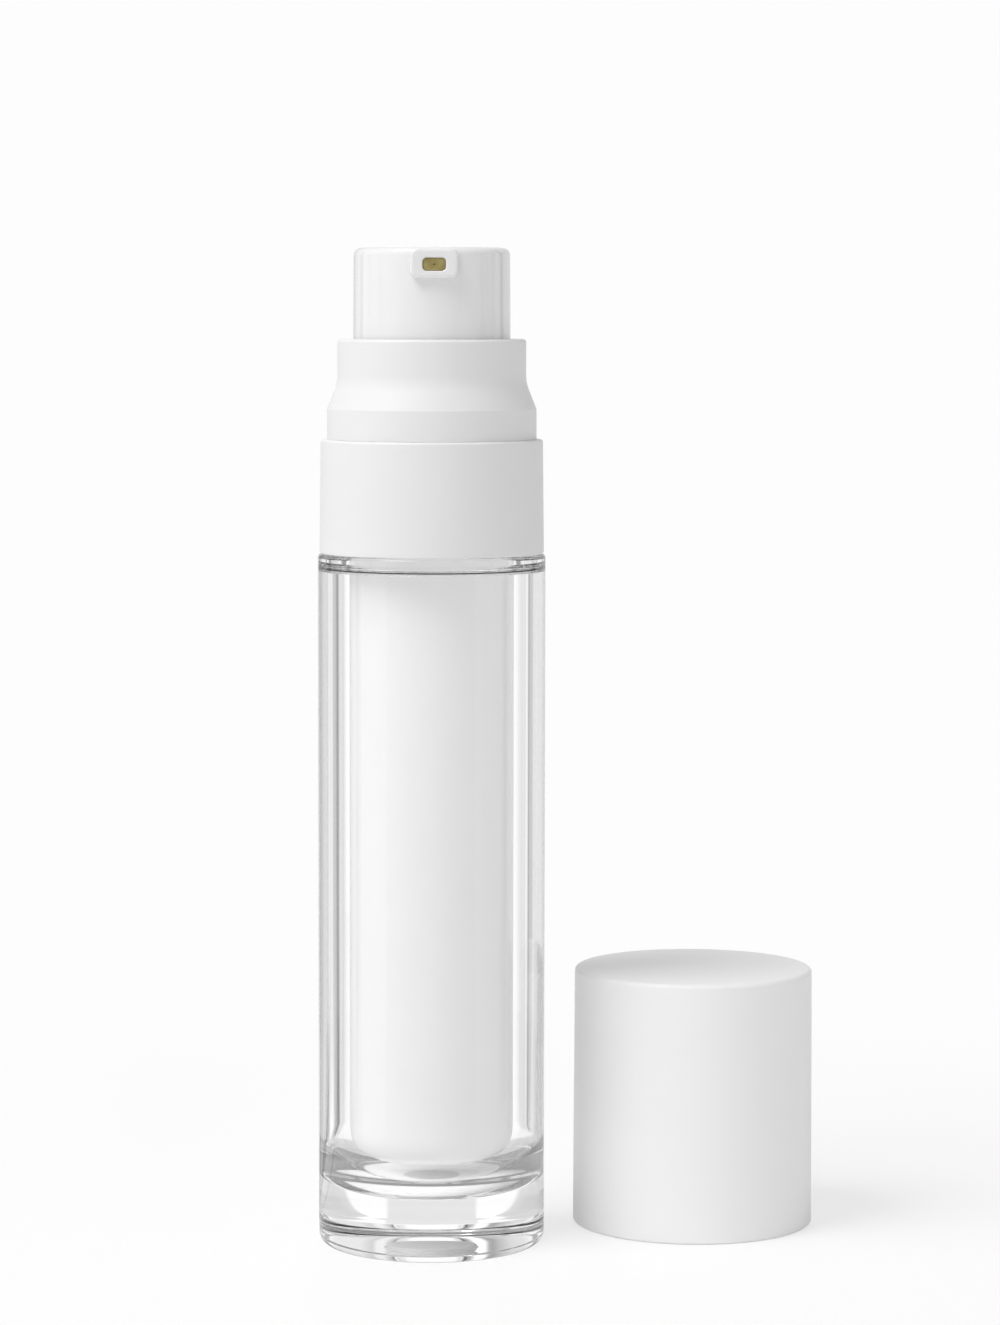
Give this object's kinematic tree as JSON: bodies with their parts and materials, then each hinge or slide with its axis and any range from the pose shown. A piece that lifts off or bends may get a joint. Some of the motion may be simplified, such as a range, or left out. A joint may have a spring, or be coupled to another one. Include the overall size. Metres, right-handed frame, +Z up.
{
  "type": "airless pump bottle",
  "caption": "Airless pump bottle with a clear double wall, a white inner bottle, a stepped collar, a press-down head and a round cap standing beside it.",
  "frame": {"origin": "centre of the bottle's underside, on the surface that it stands on", "axes": "+Z up along the bottle's axis, the outlet faces -Y, the cap stands on the +X side and a little behind"},
  "size_m": [0.0762, 0.0489, 0.1496],
  "materials": {
    "clear_acrylic": "polished clear acrylic",
    "inner_white": "satin white",
    "collar_white": "fine matt white",
    "head_white": "polished white",
    "natural": "natural translucent plastic",
    "seal": "soft white seal",
    "steel": "bright stainless steel",
    "olive_gold": "dull olive gold",
    "cap_white": "fine matt white"
  },
  "bodies": {
    "bottle": {"outer_bottle": "clear_acrylic", "inner_bottle": "inner_white", "shoulder_band": "collar_white", "shoulder_collar": "collar_white", "closure_ring": "natural", "neck_gasket": "seal", "pump_housing": "natural", "housing_cap": "natural", "inlet_seat": "natural", "inlet_cage": "natural", "return_spring": "steel"},
    "stem": {"stem": "natural", "stem_piston": "seal", "stem_collar": "natural"},
    "head": {"actuator_shell": "head_white", "actuator_core": "natural", "nozzle_insert": "olive_gold"},
    "inlet_ball": {"inlet_valve": "steel"},
    "outlet_ball": {"outlet_valve": "steel"},
    "follower": {"follower_piston": "natural"},
    "cap": {"overcap": "cap_white", "overcap_liner": "natural"}
  },
  "joints": [
    {"name": "head_press", "type": "slide", "parent": "bottle", "child": "stem", "axis": [0, 0, -1], "range_m": [0, 0.0055], "stiffness_N_per_m": 1200, "springref_m": -0.004, "deforming": ["return_spring"]},
    {"name": "head_turn", "type": "hinge", "parent": "stem", "child": "head", "pos_m": [0, 0, 0.14965], "axis": [0, 0, 1], "continuous": true},
    {"name": "inlet_lift", "type": "slide", "parent": "bottle", "child": "inlet_ball", "axis": [0, 0, 1], "range_m": [0, 0.0008]},
    {"name": "outlet_lift", "type": "slide", "parent": "stem", "child": "outlet_ball", "axis": [0, 0, 1], "range_m": [0, 0.0007]},
    {"name": "follower_rise", "type": "slide", "parent": "bottle", "child": "follower", "axis": [0, 0, 1], "range_m": [0, 0.079]},
    {"name": "overcap_lift", "type": "slide", "parent": "bottle", "child": "cap", "axis": [0, 0, 1], "range_m": [0, 0.16]}
  ]
}
